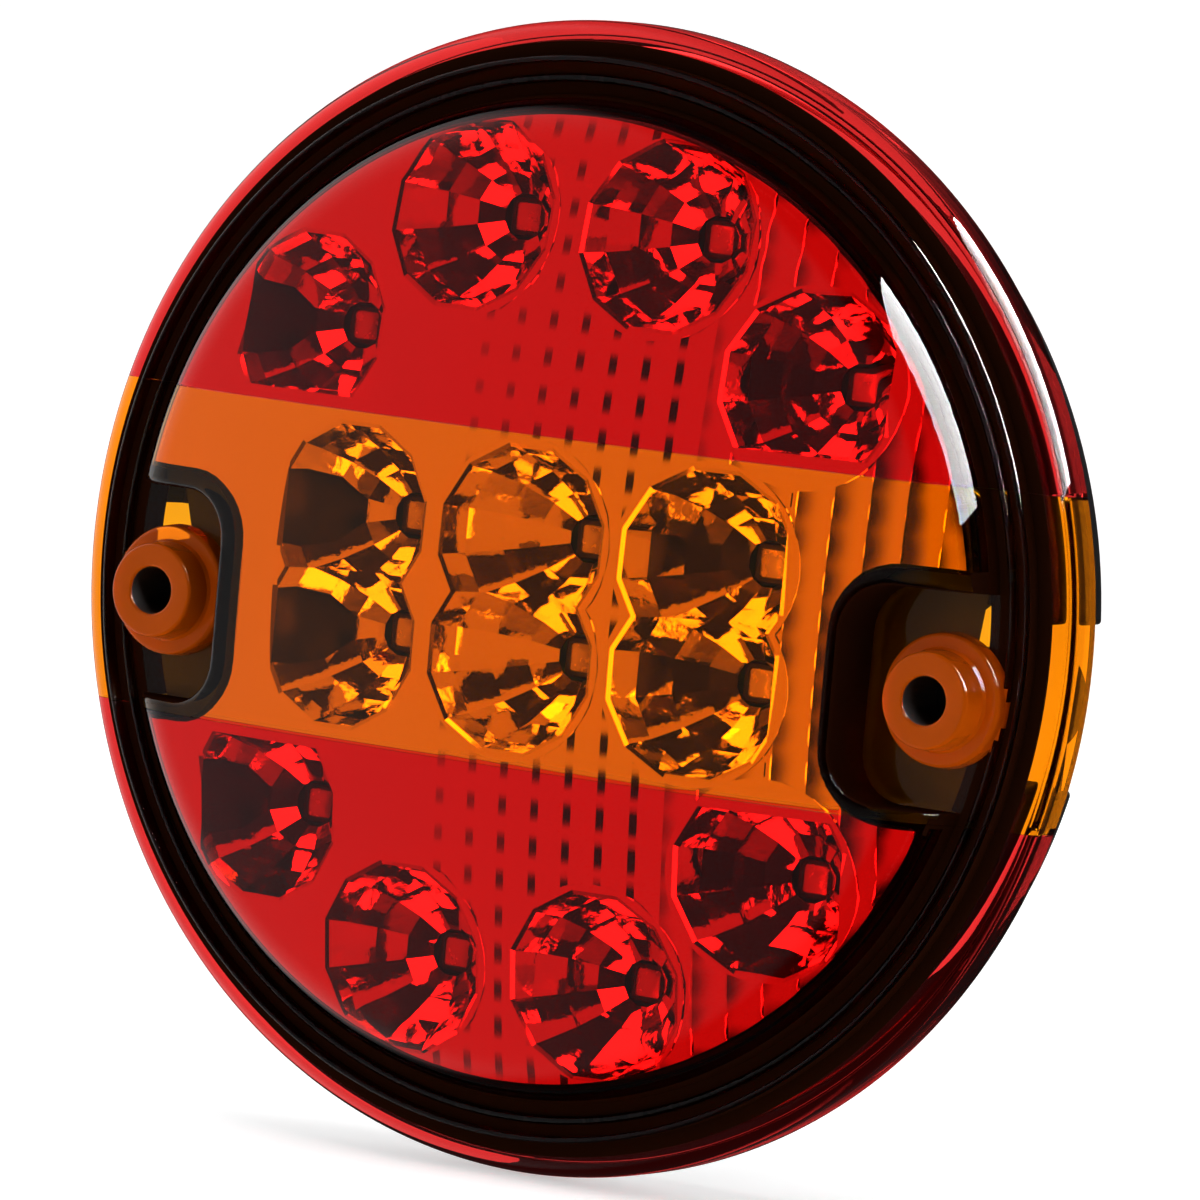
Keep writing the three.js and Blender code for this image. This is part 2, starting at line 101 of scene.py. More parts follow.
# ---- lens sizes ----
DOME_RADIUS = 260
LENS_WALL = 2
FACE_RADIUS = 61
EDGE_ROUND = 8
INNER_ROUND = 3
# The seal stands this far above the housing's wall, and the lens rests on it.
SEAL_PROUD = 0.3
VALLEY_DEPTH = WALL_TOP - SEAL_PROUD - LENS_WALL
LEDGE_DEPTH = VALLEY_DEPTH + LENS_WALL
GROOVE_DEPTH = VALLEY_DEPTH + 0.8
SHOULDER_ROUND = 2.6
RIB = {"inner": 62.4, "outer": 63.4, "height": 1.0}
CREST = {"inner": 64.8, "outer": 65.6, "height": 1.6}
KEY = {"half_width": 4, "inner": 65.4, "outer": 67.6}
WELL_Z = -5.4
WELL = {"reach": 44, "half_height": 13.1, "corner": 6, "outer": 61.5, "lip": 0.8}
WELL_STEPS = {"outer": 12, "side": 5, "corner": 8}
BOSS = {"hole": 2.9, "neck": 5.8, "foot": 8.2, "step": 10.3}
SECTIONS = ("lens_red_upper", "lens_amber_band", "lens_red_lower")
# Between the sections of the lens.
GAP = 0.05
# The material slots of a lens piece, in order.
BODY, SCREW_BOSS, PAINTED_SHADE_BORE, PAINTED_SHADE_RECESS, RIM = range(5)

# ---- reflector sizes ----
REFLECTOR_WALL = 1.9
REFLECTOR_SKIRT = 3
CUP_WALL = 1.1
# Cups further out than this are cut off a little beyond the edge of the amber band.
OUTER_CUP_X = 30
BAND_CLEARANCE = 1.4
CUP = {"rim": 11.3, "hole": 2.9, "sides": 12, "back": 19.3, "bevel": 0.5, "bevel_drop": 0.25}
# The rings between the facets of a cup: share of the way to its back, and share of its rim's radius.
CUP_RINGS = [(0.26, 0.93), (0.58, 0.74), (0.83, 0.5)]
FLAT = {"side": 10, "half_height": 4.8, "foot": 4.5, "strip": 14.2, "drop": 1.4}
# Flutes are pressed in from "start" to the right. Shares of the pitch tell where a flute is deepest, "fade"
# is how much shallower it is at its ends, and "bend" is 1 for straight flanks and 2 for curved ones.
FLUTES = {"pitch": 4.5, "start": -9, "wide_from": 22.5, "steps": 8}
NARROW_FLUTE = {"deepest": 0.2, "depth": 0.29, "fade": 0.8, "bend": 1, "columns": 1}
WIDE_FLUTE = {"deepest": 0.72, "depth": 0.33, "fade": 0.3, "bend": 2, "columns": 6}
LED = {"body": 1.5, "window": 1.75, "window_depth": 0.7, "chamfer": 0.5, "edge": 0.25, "play": 0.02}

# ---- housing and cable sizes ----
# A margin is how far a wall that goes round a well stands off from the well.
FLANGE = {"front": 20, "floor": 26, "back": 28.5}
CHAMBER = {"outer": 64.6, "outer_margin": 0.5, "inner": 61, "inner_margin": 4.1}
GROOVE = {"outer": 63.6, "outer_margin": 1.5, "inner": 62, "inner_margin": 3.1, "depth": 1.8}
RING_KEYS = ("outer", "outer_margin", "inner", "inner_margin")
SEAL_PLAY = 0.1
PEDESTAL_RADIUS = 58
PEDESTAL_WALL = 2.5
FLOOR_DEPTH = LAMP_DEPTH - PEDESTAL_WALL
NOTCH = {"inner": SCREW_X + 6.5, "half_height": 10, "corner": 1}
PILLAR = {"radius": 6.2, "round": 0.5, "bore": 3}
SLOT = {"inset": 2, "reach": 60, "web": 1.6}
POST = {"radius": 3, "pilot": 1.35, "pilot_depth": 6}
STRAND = {"bare": 9, "core": 0.9, "offset": 1.15, "core_end": 4, "wire": 0.5}
GROMMET = {"collar": 6.6, "collar_height": 1.6, "neck": 4.6, "round": 0.4, "play": 0.05}
# A depth behind everything, for cutters that go right through.
BEYOND = 50


def dome_depth(radius):
    return DOME_RADIUS - math.sqrt(DOME_RADIUS ** 2 - radius ** 2)


# ---- mesh building ----
def point(x, depth, z):
    return Vector((x, CROWN + depth, z))


def new_piece(name, verts, faces):
    """A mesh object from millimetre points, wound outwards."""
    mesh = bpy.data.meshes.new(name)
    mesh.from_pydata([vert * METRES for vert in verts], [], faces)
    bm = bmesh.new()
    bm.from_mesh(mesh)
    bmesh.ops.remove_doubles(bm, verts=bm.verts, dist=1e-7)
    bmesh.ops.recalc_face_normals(bm, faces=bm.faces)
    bm.to_mesh(mesh)
    bm.free()
    piece = bpy.data.objects.new(name, mesh)
    bpy.context.scene.collection.objects.link(piece)
    return piece


def loft(name, layers):
    """A closed solid through layers of points, with a flat cap on the first and last."""
    count = len(layers[0])
    verts = [vert for layer in layers for vert in layer]
    faces = [list(range(count)), list(range(len(verts) - count, len(verts)))]
    for row in range(len(layers) - 1):
        for i in range(count):
            j = (i + 1) % count
            faces.append([row * count + i, row * count + j, (row + 1) * count + j, (row + 1) * count + i])
    return new_piece(name, verts, faces)


def revolve(name, profile, steps=192, x=0.0, z=0.0):
    """A solid of revolution. Its [radius, depth] profile starts and ends on the axis, or is a closed ring."""
    verts, faces = [], []
    on_axis = [radius < 1e-9 for radius, _ in profile]
    rings = []
    for (radius, depth), axial in zip(profile, on_axis):
        ring = []
        for i in range(1 if axial else steps):
            angle = 2 * math.pi * i / steps
            verts.append(point(x + radius * math.sin(angle), depth, z + radius * math.cos(angle)))
            ring.append(len(verts) - 1)
        rings.append(ring)
    closed = not on_axis[0]
    pairs = zip(rings, rings[1:] + ([rings[0]] if closed else []))
    for ring, following in pairs:
        for i in range(steps):
            j = (i + 1) % steps
            corners = [ring[i % len(ring)], ring[j % len(ring)], following[j % len(following)],
                       following[i % len(following)]]
            corners = list(dict.fromkeys(corners))
            if len(corners) > 2:
                faces.append(corners)
    return new_piece(name, verts, faces)


def bar(radius, front, back, x=0.0, z=0.0, steps=96):
    """A plain round cutter or core between two depths."""
    return revolve("bar", [(0, front), (radius, front), (radius, back), (0, back)], steps, x, z)


def block(low, high):
    """A plain cutter from corner to corner, each given as (x, depth, z)."""
    xs, depths, zs = zip(low, high)
    layers = [[point(xs[0], d, zs[0]), point(xs[1], d, zs[0]), point(xs[1], d, zs[1]), point(xs[0], d, zs[1])]
              for d in depths]
    return loft("block", layers)


def combine(target, tool, operation):
    """Cuts, joins or intersects target with tool, and deletes tool."""
    modifier = target.modifiers.new("combine", "BOOLEAN")
    modifier.object = tool
    modifier.operation = operation
    modifier.solver = "MANIFOLD"
    shown = target.evaluated_get(bpy.context.evaluated_depsgraph_get())
    result = bpy.data.meshes.new_from_object(shown)
    target.modifiers.clear()
    target.data = result
    bpy.data.objects.remove(tool)
    return target


def cut(target, tool):
    return combine(target, tool, "DIFFERENCE")


def join(target, tool):
    return combine(target, tool, "UNION")


def keep_inside(target, tool):
    return combine(target, tool, "INTERSECT")


def copy_of(piece):
    twin = piece.copy()
    twin.data = piece.data.copy()
    bpy.context.scene.collection.objects.link(twin)
    return twin


def shade(piece, sharp_degrees=30):
    piece.data.shade_smooth()
    piece.data.set_sharp_from_angle(angle=math.radians(sharp_degrees))


def finish_piece(piece, name, body, materials, nodes=(), sharp_degrees=30):
    """Names a finished piece, gives it its materials and hangs it on its CAD body."""
    piece.name = name
    piece.data.name = name
    piece.data.materials.clear()
    for material in materials:
        piece.data.materials.append(material)
    shade(piece, sharp_degrees)
    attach(piece, body)
    if nodes:
        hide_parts(*nodes)
    return piece


def arc(radius, depth, size, start, end, steps):
    """Profile points round (radius, depth), with 0 degrees towards the front and 90 outwards."""
    angles = [math.radians(start + (end - start) * i / steps) for i in range(steps + 1)]
    return [(radius + size * math.sin(a), depth - size * math.cos(a)) for a in angles]


# ---- U-shaped wells round the fixing screws ----
def well_contour(side, margin, outer=None):
    """Points [x, z] round one well, grown by margin on its three walls, always the same number of them."""
    outer = outer or WELL["outer"]
    top = WELL_Z + WELL["half_height"] + margin
    bottom = WELL_Z - WELL["half_height"] - margin
    inner = WELL["reach"] - margin
    corner = WELL["corner"] + margin
    points = []
    arc_steps, side_steps, corner_steps = (WELL_STEPS[key] for key in ("outer", "side", "corner"))
    start, end = (math.asin(z / outer) for z in (bottom, top))
    for i in range(arc_steps + 1):
        angle = start + (end - start) * i / arc_steps
        points.append((outer * math.cos(angle), outer * math.sin(angle)))
    mouth_bottom, mouth_top = points[0][0], points[-1][0]
    for i in range(1, side_steps):
        share = i / side_steps
        points.append((mouth_top * (1 - share) + (inner + corner) * share, top))
    for z, begin in ((top - corner, 90), (bottom + corner, 180)):
        for i in range(corner_steps + 1):
            angle = math.radians(begin + 90 * i / corner_steps)
            points.append((inner + corner + corner * math.cos(angle), z + corner * math.sin(angle)))
    for i in range(1, side_steps):
        share = i / side_steps
        points.append(((inner + corner) * (1 - share) + mouth_bottom * share, bottom))
    return [(side * x, z) for x, z in points]


def well_prism(side, margin, front, back, outer=None):
    contour = well_contour(side, margin, outer)
    return loft("well", [[point(x, depth, z) for x, z in contour] for depth in (front, back)])


def rounded_dome(offset, edge, size, steps):
    """Profile of a dome behind the crown by offset, rounded off into a straight wall at the edge radius."""
    centre_radius = edge - size
    tangent = centre_radius / (1 - size / DOME_RADIUS)
    slope = math.degrees(math.asin(tangent / DOME_RADIUS))
    centre_depth = offset + dome_depth(tangent) + size * math.cos(math.radians(slope))
    last = math.degrees(math.acos(min(1, max(0, (centre_depth - VALLEY_DEPTH) / size))))
    profile = [(tangent * i / steps, offset + dome_depth(tangent * i / steps)) for i in range(steps)]
    return profile + arc(centre_radius, centre_depth, size, slope, last, 16)


def lens_surface(radius):
    """Depth of the lens's outer surface inside the rim."""
    profile = rounded_dome(0, FACE_RADIUS, EDGE_ROUND, 60)
    for (r0, d0), (r1, d1) in zip(profile, profile[1:]):
        if r0 <= radius <= r1:
            return d0 + (d1 - d0) * (radius - r0) / (r1 - r0)
    return VALLEY_DEPTH


def well_cutter(side):
    """The hollow of one well, rounded at its lip, which follows the dome, and at the foot of its walls."""
    lip, ahead, layer_gap = WELL["lip"], -2, 0.02
    layers = [[point(x, ahead, z) for x, z in well_contour(side, lip)]]
    for index, degrees in enumerate((0, 22, 45, 67, 90)):
        margin = lip * (1 - math.sin(math.radians(degrees)))
        drop = lip * (1 - math.cos(math.radians(degrees)))
        lowest = VALLEY_DEPTH - layer_gap * (8 - index)
        layers.append([point(x, min(lens_surface(math.hypot(x, z)) + drop, lowest), z)
                       for x, z in well_contour(side, margin)])
    for margin, rise in ((0, 0.06), (-0.15, 0.03), (-0.5, 0)):
        layers.append([point(x, VALLEY_DEPTH - rise, z) for x, z in well_contour(side, margin)])
    return loft("well_cutter", layers)


# ---- lens ----
def ridge(size, floor_outside):
    """A round-topped ring that stands up from the valley floor."""
    half = (size["outer"] - size["inner"]) / 2
    top = VALLEY_DEPTH - size["height"] + half
    return [(size["inner"], VALLEY_DEPTH)] + arc(size["inner"] + half, top, half, -90, 90, 8) + [
        (size["outer"], floor_outside)]


def lens_outside():
    """The lens's outer surface as a solid, closed at the back of the skirt."""
    profile = rounded_dome(0, FACE_RADIUS, EDGE_ROUND, 40)
    profile += ridge(RIB, VALLEY_DEPTH) + ridge(CREST, GROOVE_DEPTH)
    profile += arc(LAMP_RADIUS - SHOULDER_ROUND, GROOVE_DEPTH + SHOULDER_ROUND, SHOULDER_ROUND, 0, 90, 14)
    bevel = 0.25
    profile += [(LAMP_RADIUS, SKIRT_DEPTH - bevel), (LAMP_RADIUS - bevel, SKIRT_DEPTH), (0, SKIRT_DEPTH)]
    return revolve("lens_outside", profile, 256)


def lens_inside():
    """The hollow behind the lens."""
    skirt_inside = LAMP_RADIUS - LENS_WALL
    profile = rounded_dome(LENS_WALL, FACE_RADIUS - LENS_WALL, INNER_ROUND, 40)
    profile += [(FACE_RADIUS - LENS_WALL, LEDGE_DEPTH), (skirt_inside - LENS_WALL, LEDGE_DEPTH)]
    profile += arc(skirt_inside - LENS_WALL, LEDGE_DEPTH + LENS_WALL, LENS_WALL, 10, 90, 8)
    profile += [(skirt_inside, SKIRT_DEPTH + 1), (0, SKIRT_DEPTH + 1)]
    return revolve("lens_inside", profile, 256)


def screw_boss(side):
    """A stepped tube that takes a fixing screw."""
    hole, neck, foot, step = (BOSS[key] for key in ("hole", "neck", "foot", "step"))
    mouth_round, neck_round, foot_round, draft = 0.4, 0.5, 0.6, 0.2
    profile = [(hole, BOSS_FRONT + neck_round)]
    profile += arc(hole + mouth_round, BOSS_FRONT + mouth_round, mouth_round, -70, 0, 4)
    profile += arc(neck - neck_round, BOSS_FRONT + neck_round, neck_round, 0, 85, 5)
    profile += [(neck + draft, step - 2 * draft), (neck + neck_round, step)]
    profile += arc(foot - draft - foot_round, step + foot_round, foot_round, 0, 85, 5)
    profile += [(foot, VALLEY_DEPTH + neck_round), (foot, LEDGE_DEPTH), (hole, LEDGE_DEPTH)]
    return revolve("boss", profile, 96, side * SCREW_X, WELL_Z)


def well_distance(x, z):
    """How far x, z lies outside the nearer well, or inside it if negative."""
    across = WELL["reach"] - abs(x) + WELL["corner"]
    up = abs(z - WELL_Z) - WELL["half_height"] + WELL["corner"]
    return math.hypot(max(across, 0), max(up, 0)) - WELL["corner"]


def lens_region(face):
    """Which of its piece's material slots a face of the lens uses."""
    x, z = face.center.x / METRES, face.center.z / METRES
    depth = face.center.y / METRES - CROWN
    radius = math.hypot(x, z)
    from_screw = math.hypot(abs(x) - SCREW_X, z - WELL_Z)
    # The bore of each screw boss is painted near-black as shade, the dark of a deep tube, though the lens is
    # clear there.
    if from_screw < BOSS["hole"] + 0.05:
        return PAINTED_SHADE_BORE
    if from_screw < BOSS["foot"] + 0.1 and depth < VALLEY_DEPTH - 0.01:
        return SCREW_BOSS
    # The walls round the wells are painted near-black as shade, though the lens there is clear plastic.
    upright = abs(face.normal.y) < 0.6 and radius < WELL["outer"]
    if upright and -0.7 < well_distance(x, z) < LENS_WALL + 0.2:
        return PAINTED_SHADE_RECESS
    if radius > LAMP_RADIUS - SHOULDER_ROUND - 0.5:
        return RIM
    # Beyond the face, the foot of its rounded edge is painted dark as shade, and past the rib only the floor
    # is.
    height = 0.3 if radius > RIB["inner"] else 3
    if radius > FACE_RADIUS - 0.5 and depth > VALLEY_DEPTH - height:
        return PAINTED_SHADE_RECESS
    return BODY


def build_lens(materials):
    """The lens as one hollow solid with its wells and bosses, then sawn into its three colours."""
    outside = lens_outside()
    lens = cut(copy_of(outside), lens_inside())
    for side in (-1, 1):
        liner = well_prism(side, LENS_WALL, 0.5, LEDGE_DEPTH, WELL["outer"] + 0.5)
        join(lens, keep_inside(liner, copy_of(outside)))
    for side in (-1, 1):
        low, high = sorted((side * KEY["inner"], side * KEY["outer"]))
        width = KEY["half_width"]
        key = block((-width, VALLEY_DEPTH - CREST["height"], low), (width, LEDGE_DEPTH, high))
        join(lens, keep_inside(key, copy_of(outside)))
    bpy.data.objects.remove(outside)
    for side in (-1, 1):
        cut(lens, well_cutter(side))
        cut(lens, bar(BOSS["hole"], 0, SKIRT_DEPTH, side * SCREW_X, WELL_Z))
        join(lens, screw_boss(side))
    far = LAMP_RADIUS + 5
    sections = (("lens_red_upper", BAND_HALF_HEIGHT + GAP, far, "red"),
                ("lens_amber_band", -BAND_HALF_HEIGHT, BAND_HALF_HEIGHT, "amber"),
                ("lens_red_lower", -far, -BAND_HALF_HEIGHT - GAP, "red"))
    for node, low, high, colour in sections:
        section = keep_inside(copy_of(lens), block((-far, -1, low), (far, SKIRT_DEPTH + 1, high)))
        slots = [materials[key] for key in (f"lens_{colour}", "boss", "bore", "painted_shade_recess", f"rim_{colour}")]
        finish_piece(section, f"{node}_shell", "lens_cover", slots, [node], 24)
        for face in section.data.polygons:
            face.material_index = lens_region(face)
    bpy.data.objects.remove(lens)


# ---- reflector ----
def plate_front(x, z):
    return PLATE_STAND_OFF + dome_depth(math.hypot(x, z))


def cup_cutter(x, z):
    """The faceted hollow of one cup, with a bevelled mouth that follows the plate."""
    sides, per_side = CUP["sides"], 4
    corners = []
    for i in range(sides):
        begin, end = (math.radians(360 / sides * (i + k + 0.5)) for k in (0, 1))
        for k in range(per_side):
            share = k / per_side
            corners.append(((1 - share) * math.sin(begin) + share * math.sin(end),
                            (1 - share) * math.cos(begin) + share * math.cos(end)))

    def level(radius, depth):
        return [point(x + radius * u, depth, z + radius * v) for u, v in corners]

    def along_plate(radius, drop):
        spots = [(x + radius * u, z + radius * v) for u, v in corners]
        return [point(a, plate_front(a, b) + drop, b) for a, b in spots]

    rim, mouth, hole, back = CUP["rim"], CUP["rim"] + CUP["bevel"], CUP["hole"], CUP["back"]
    layers = [level(mouth, -1), along_plate(mouth, 0), along_plate(rim, CUP["bevel_drop"])]
    for share, ratio in CUP_RINGS:
        layers.append(level(rim * ratio, plate_front(x, z) * (1 - share) + back * share))
    layers += [level(hole, back - 0.2), level(hole, back + 2)]
    return loft("cup", layers)


def flat_wall(x, z, side):
    """What a flat leaning wall keeps out of the outer side of a cup."""
    front, back, reach = plate_front(x, z), CUP["back"], 2 * CUP["rim"]
    ahead, behind = -3, back + 6
    outline = [(FLAT["side"], ahead), (FLAT["side"], front + FLAT["drop"]), (FLAT["foot"], back),
               (FLAT["foot"], behind), (reach, behind), (reach, ahead)]
    layers = [[point(x + side * a, depth, z + edge) for a, depth in outline] for edge in (-reach, reach)]
    return loft("flat_wall", layers)


def side_strip(x, z, side):
    """The sloping strip between the plate and the flat wall."""
    front, foot, height = plate_front(x, z), plate_front(x, z) + FLAT["drop"], FLAT["half_height"]
    inner, outer, ahead = FLAT["side"] - 1, FLAT["strip"], -1
    outline = [(inner, ahead), (outer, ahead), (outer, front), (FLAT["side"], foot), (inner, foot)]
    return loft("side_strip", [[point(x + side * a, depth, z + edge) for a, depth in outline]
                               for edge in (-height, height)])


def on_flat_wall(face, x, z, side):
    """Whether a face of the reflector lies on the leaning wall of the cup at x, z."""
    across = side * (face.center.x / METRES - x)
    depth = face.center.y / METRES - CROWN
    front, back = plate_front(x, z) + FLAT["drop"], CUP["back"]
    along = (depth - front) / (back - front)
    line = FLAT["side"] + (FLAT["foot"] - FLAT["side"]) * along
    beside = abs(face.center.z / METRES - z) < CUP["rim"]
    return beside and 0.03 < along < 1.02 and abs(across - line) < 0.05


def flute_at(x):
    """The kind of flute at x."""
    return WIDE_FLUTE if x >= FLUTES["wide_from"] else NARROW_FLUTE


def flute_depth(x, z):
    """How far the plate is pressed in at x, z, by a grid of short flutes with two flanks each."""
    if x < FLUTES["start"]:
        return 0
    across = (x - FLUTES["start"]) / FLUTES["pitch"] % 1
    along = 2 * (z / FLUTES["pitch"] % 1) - 1
    flute = flute_at(x)
    flank = min(across / flute["deepest"], (1 - across) / (1 - flute["deepest"]))
    return flute["depth"] * (1 - (1 - flank) ** flute["bend"]) * (1 - flute["fade"] * along * along)


def fluted_slab():
    """A block whose front is the plate's dome with the flutes pressed into it."""
    pitch, start, steps = FLUTES["pitch"], FLUTES["start"], FLUTES["steps"]
    half_rows = math.ceil(REFLECTOR_RADIUS / pitch) * steps
    rows = [pitch * i / steps for i in range(-half_rows, half_rows + 1)]
    smooth_columns = math.ceil(2 * (REFLECTOR_RADIUS + start) / pitch)
    columns = [start - pitch / 2 * i for i in range(smooth_columns, 0, -1)]
    for i in range(math.ceil((REFLECTOR_RADIUS - start) / pitch) + 1):
        edge = start + pitch * i
        flute = flute_at(edge)
        count, deepest = flute["columns"], flute["deepest"]
        columns += [edge + pitch * deepest * k / count for k in range(count)]
        columns += [edge + pitch * (deepest + (1 - deepest) * k / count) for k in range(count)]
    wide, high = len(columns), len(rows)
    verts = [point(x, plate_front(x, z) + flute_depth(x, z), z) for z in rows for x in columns]
    faces = []
    for row in range(high - 1):
        for column in range(wide - 1):
            first = row * wide + column
            faces.append([first, first + 1, first + wide + 1, first + wide])
    border = list(range(wide - 1))
    border += [row * wide + wide - 1 for row in range(high - 1)]
    border += [(high - 1) * wide + column for column in range(wide - 1, 0, -1)]
    border += [row * wide for row in range(high - 1, 0, -1)]
    back = range(len(verts), len(verts) + len(border))
    verts += [point(verts[i].x, LAMP_DEPTH, verts[i].z) for i in border]
    faces.append(list(back))
    for here, following in zip(range(-1, len(border) - 1), range(len(border))):
        faces.append([border[here], border[following], back[following], back[here]])
    return new_piece("fluted_slab", verts, faces)


def reflector_plate():
    """The domed plate with its flutes and its short skirt, before the cups are made in it."""
    steps = 30
    radii = [REFLECTOR_RADIUS * i / steps for i in range(steps + 1)]
    dome = [(radius, PLATE_STAND_OFF + dome_depth(radius)) for radius in radii]
    edge_depth = dome[-1][1]
    skirt_inside, skirt_end = REFLECTOR_RADIUS - REFLECTOR_WALL, edge_depth + REFLECTOR_SKIRT
    profile = [(radius, depth - 0.5) for radius, depth in dome]
    profile += [(REFLECTOR_RADIUS, skirt_end), (skirt_inside, skirt_end),
                (skirt_inside, edge_depth + REFLECTOR_WALL)]
    profile += [(radius, depth + REFLECTOR_WALL) for radius, depth in reversed(dome[:-1])]
    plate = keep_inside(revolve("reflector", profile, 192), fluted_slab())
    envelope = revolve("envelope", dome + [(REFLECTOR_RADIUS, CUP["back"]), (0, CUP["back"])], 192)
    return plate, envelope


def cup_moulding(spot):
    """The outside of one cup's wall, as a solid that starts a little in front of the plate."""
    front, rim, back = plate_front(spot.x, spot.z), CUP["rim"], CUP["back"]
    profile = [(0, front - 2.5), (rim + CUP_WALL, front - 2.5), (rim + CUP_WALL, front)]
    profile += [(rim * ratio + CUP_WALL, front * (1 - share) + back * share) for share, ratio in CUP_RINGS]
    profile += [(CUP["hole"] + 1, back), (0, back)]
    return revolve("moulding", profile, 36, spot.x, spot.z)


def has_flat_wall(spot):
    return abs(spot.x) > CUP["rim"] * 1.5


def shaped_cup(spot):
    """The hollow of one cup: cups away from the middle have a flat wall, and end at the edge of the band."""
    cutter = cup_cutter(spot.x, spot.z)
    side = math.copysign(1, spot.x)
    if has_flat_wall(spot):
        cut(cutter, flat_wall(spot.x, spot.z, side))
        join(cutter, side_strip(spot.x, spot.z, side))
    if abs(spot.x) > OUTER_CUP_X:
        limit, reach = BAND_HALF_HEIGHT + BAND_CLEARANCE, 3 * CUP["rim"]
        cut(cutter, block((spot.x - reach, -5, -limit), (spot.x + reach, BEYOND, limit)))
    return cutter


def build_reflector(materials):
    """The plate with its cups: chrome in front, chrome darkened on the flat walls as a painted dark
    reflection, livelier chrome in the cups.
    """
    plate, envelope = reflector_plate()
    spots = [centre(name) for name in RED_LEDS + AMBER_LEDS]
    for spot in spots:
        join(plate, keep_inside(cup_moulding(spot), copy_of(envelope)))
    bpy.data.objects.remove(envelope)
    for side in (-1, 1):
        cut(plate, well_prism(side, LENS_WALL + 0.5, -1, LAMP_DEPTH, LAMP_RADIUS))
    for spot in spots:
        cut(plate, shaped_cup(spot))
    slots = [materials[key] for key in ("chrome", "painted_shade_chrome", "facets")]
    finish_piece(plate, "reflector_bowls", "base", slots, ["reflector"], 6)
    walled = [spot for spot in spots if has_flat_wall(spot)]
    for face in plate.data.polygons:
        x, depth, z = face.center.x / METRES, face.center.y / METRES - CROWN, face.center.z / METRES
        # The flat walls get the darkened chrome, a painted dark reflection.
        if any(on_flat_wall(face, spot.x, spot.z, math.copysign(1, spot.x)) for spot in walled):
            face.material_index = 1
        elif depth > plate_front(x, z) + 0.7:
            face.material_index = 2


# ---- light sources ----
def chamfered_square(half, chamfer):
    """Corner points [x, z] of a square with cut corners, in order."""
    points = []
    for u, v in ((1, 1), (-1, 1), (-1, -1), (1, -1)):
        on_side, on_top = (u * half, v * (half - chamfer)), (u * (half - chamfer), v * half)
        points += [on_side, on_top] if u * v > 0 else [on_top, on_side]
    return points


def build_led(node, materials):
    """A square black body with a square window, a silver plate on its floor and a clear filling."""
    low, high = cad_box(node)
    spot = centre(node)
    half = (high.x - low.x) / 2
    tip, back = low.y - CROWN, high.y - CROWN
    front = back - LED["body"]
    floor = front + LED["window_depth"]
    edge, chamfer, play = LED["edge"], LED["chamfer"], LED["play"]
    window, inset = LED["window"], LED["window"] - play

    def square(size, depth, cut_corner):
        return [point(spot.x + x, depth, spot.z + z) for x, z in chamfered_square(size, cut_corner)]

    layers = [(half - edge, front), (half, front + edge), (half, back)]
    body = loft(node, [square(size, depth, chamfer) for size, depth in layers])
    cut(body, loft("window", [square(window, front - 1, edge), square(window, floor, edge)]))
    finish_piece(body, f"{node}_body", "base", [materials["chip"]], [node])
    plate_top = floor - 0.3
    plate = loft(node, [square(inset, plate_top, edge), square(inset, floor - play, edge)])
    finish_piece(plate, f"{node}_plate", "base", [materials["led_silver"]], [])
    layers = [square(window * share, tip + (front - tip) * share ** 2, edge * share)
              for share in (0.4, 0.6, 0.8, 0.95)]
    layers.append(square(inset, plate_top - play, edge))
    finish_piece(loft(node, layers), f"{node}_filling", "base", [materials["led_clear"]], [])


# ---- housing and seal ----
def chamber(radius, margin, front, back):
    """A disc without the two wells."""
    disc = bar(radius, front, back, steps=192)
    for side in (-1, 1):
        cut(disc, well_prism(side, margin, front - 1, back + 1, 78))
    return disc


def chamber_ring(outer, outer_margin, inner, inner_margin, front, back):
    """A wall that runs round the chamber and dodges the two wells."""
    return cut(chamber(outer, outer_margin, front, back), chamber(inner, inner_margin, front - 1, back + 1))


def side_notch(side):
    """The gap in the housing's rim beside one screw pillar, with rounded corners where it opens."""
    corner, steps = NOTCH["corner"], 6
    upper, lower = [], []
    for up, edge in ((1, upper), (-1, lower)):
        wall = WELL_Z + up * NOTCH["half_height"]
        z = wall + up * corner
        x = math.sqrt((FLANGE_RADIUS - corner) ** 2 - z ** 2)
        edge.append((NOTCH["inner"], wall))
        for i in range(steps + 1):
            angle = -up * math.pi / 2 * (1 - i / steps) + math.atan2(z, x) * i / steps
            edge.append((x + corner * math.cos(angle), z + corner * math.sin(angle)))
        edge.append((1.1 * edge[-1][0], 1.1 * edge[-1][1]))
    outline = upper + lower[::-1]
    return loft("side_notch", [[point(side * x, depth, z) for x, z in outline]
                               for depth in (WALL_TOP - 2, LAMP_DEPTH + 1)])


def housing_tray():
    """The round tray: a flange at the lens, with a lip that stands up round it, and a pedestal behind."""
    front, floor, back = FLANGE["front"], FLANGE["floor"], FLANGE["back"]
    lip_inside, lip_round, back_round = CHAMBER["outer"] - 0.5, 0.5, 0.8
    foot, foot_round = PEDESTAL_RADIUS, 0.7
    profile = [(0, floor), (lip_inside, floor), (lip_inside, front)]
    profile += arc(FLANGE_RADIUS - lip_round, front + lip_round, lip_round, 0, 90, 4)
    profile += arc(FLANGE_RADIUS - back_round, back - back_round, back_round, 90, 180, 5)
    profile += [(foot + 0.8, back), (foot + 0.2, back + 0.2), (foot, back + 0.8)]
    profile += arc(foot - foot_round, LAMP_DEPTH - foot_round, foot_round, 90, 180, 5)
    profile += [(0, LAMP_DEPTH)]
    return revolve("tray", profile, 192)


